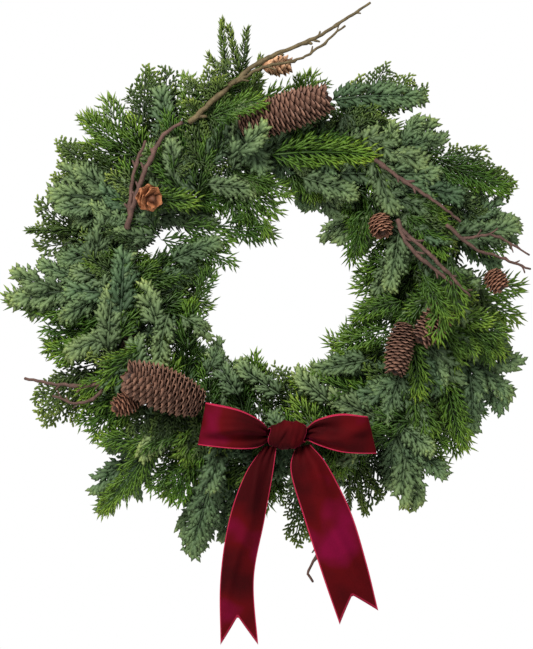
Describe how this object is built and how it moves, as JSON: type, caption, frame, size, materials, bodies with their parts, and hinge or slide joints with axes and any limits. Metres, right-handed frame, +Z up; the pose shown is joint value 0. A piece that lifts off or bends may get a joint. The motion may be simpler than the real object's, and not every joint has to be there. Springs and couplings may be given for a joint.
{
  "type": "pinecone wreath",
  "caption": "Hanging evergreen wreath of mixed cedar, juniper and cypress sprays on a twisted vine ring, with pine cones, bare twigs and a velvet bow at its foot.",
  "frame": {"origin": "the point where the hook bears, at the top of the inside of the wire hanging loop", "axes": "+Z up as it hangs, +Y towards the wall behind it, so the decorated front faces -Y, and +X to the right as seen from the front"},
  "size_m": [0.601, 0.1159, 0.7373],
  "materials": {
    "vine": "rough bark",
    "wire": "green coated wire",
    "cedar": "satin moulded foliage",
    "juniper": "dusty blue-green moulded foliage",
    "cypress": "satin moulded foliage",
    "cone": "dry open scales",
    "larch": "dry open scales",
    "twig": "matt bark",
    "velvet": "velvet ribbon with a lighter selvedge"
  },
  "bodies": {
    "root": {"vine_a": "vine", "vine_b": "vine", "vine_c": "vine", "hanging_loop": "wire", "cedar_spray_01": "cedar", "cedar_spray_02": "cedar", "cedar_spray_03": "cedar", "cypress_spray_01": "cypress", "cedar_spray_04": "cedar", "juniper_spray_01": "juniper", "cedar_spray_05": "cedar", "juniper_spray_02": "juniper", "cypress_spray_02": "cypress", "cedar_spray_06": "cedar", "cypress_spray_03": "cypress", "juniper_spray_03": "juniper", "cypress_spray_04": "cypress", "juniper_spray_04": "juniper", "cypress_spray_05": "cypress", "cedar_spray_07": "cedar", "cedar_spray_08": "cedar", "juniper_spray_05": "juniper", "cypress_spray_06": "cypress", "cypress_spray_07": "cypress", "juniper_spray_06": "juniper", "cypress_spray_08": "cypress", "cypress_spray_09": "cypress", "juniper_spray_07": "juniper", "cedar_spray_09": "cedar", "juniper_spray_08": "juniper", "cedar_spray_10": "cedar", "cypress_spray_10": "cypress", "cypress_spray_11": "cypress", "juniper_spray_09": "juniper", "juniper_spray_10": "juniper", "cypress_spray_12": "cypress", "cypress_spray_13": "cypress", "juniper_spray_11": "juniper", "cypress_spray_14": "cypress", "spruce_cone_top": "cone", "spruce_cone_left": "cone", "spruce_cone_right": "cone", "spruce_cone_far_right": "cone", "spruce_cone_small_left": "cone", "larch_cone_top": "larch", "larch_cone_left": "larch", "larch_cone_right": "larch", "larch_cone_far_right": "larch", "twig_top": "twig", "twig_left": "twig", "twig_upper_right": "twig", "twig_right": "twig", "twig_far_right": "twig", "twig_lower_left": "twig", "twig_bottom": "twig", "bow_loop_left": "velvet", "bow_loop_right": "velvet", "bow_tail_left": "velvet", "bow_tail_right": "velvet", "bow_knot": "velvet"}
  },
  "joints": []
}
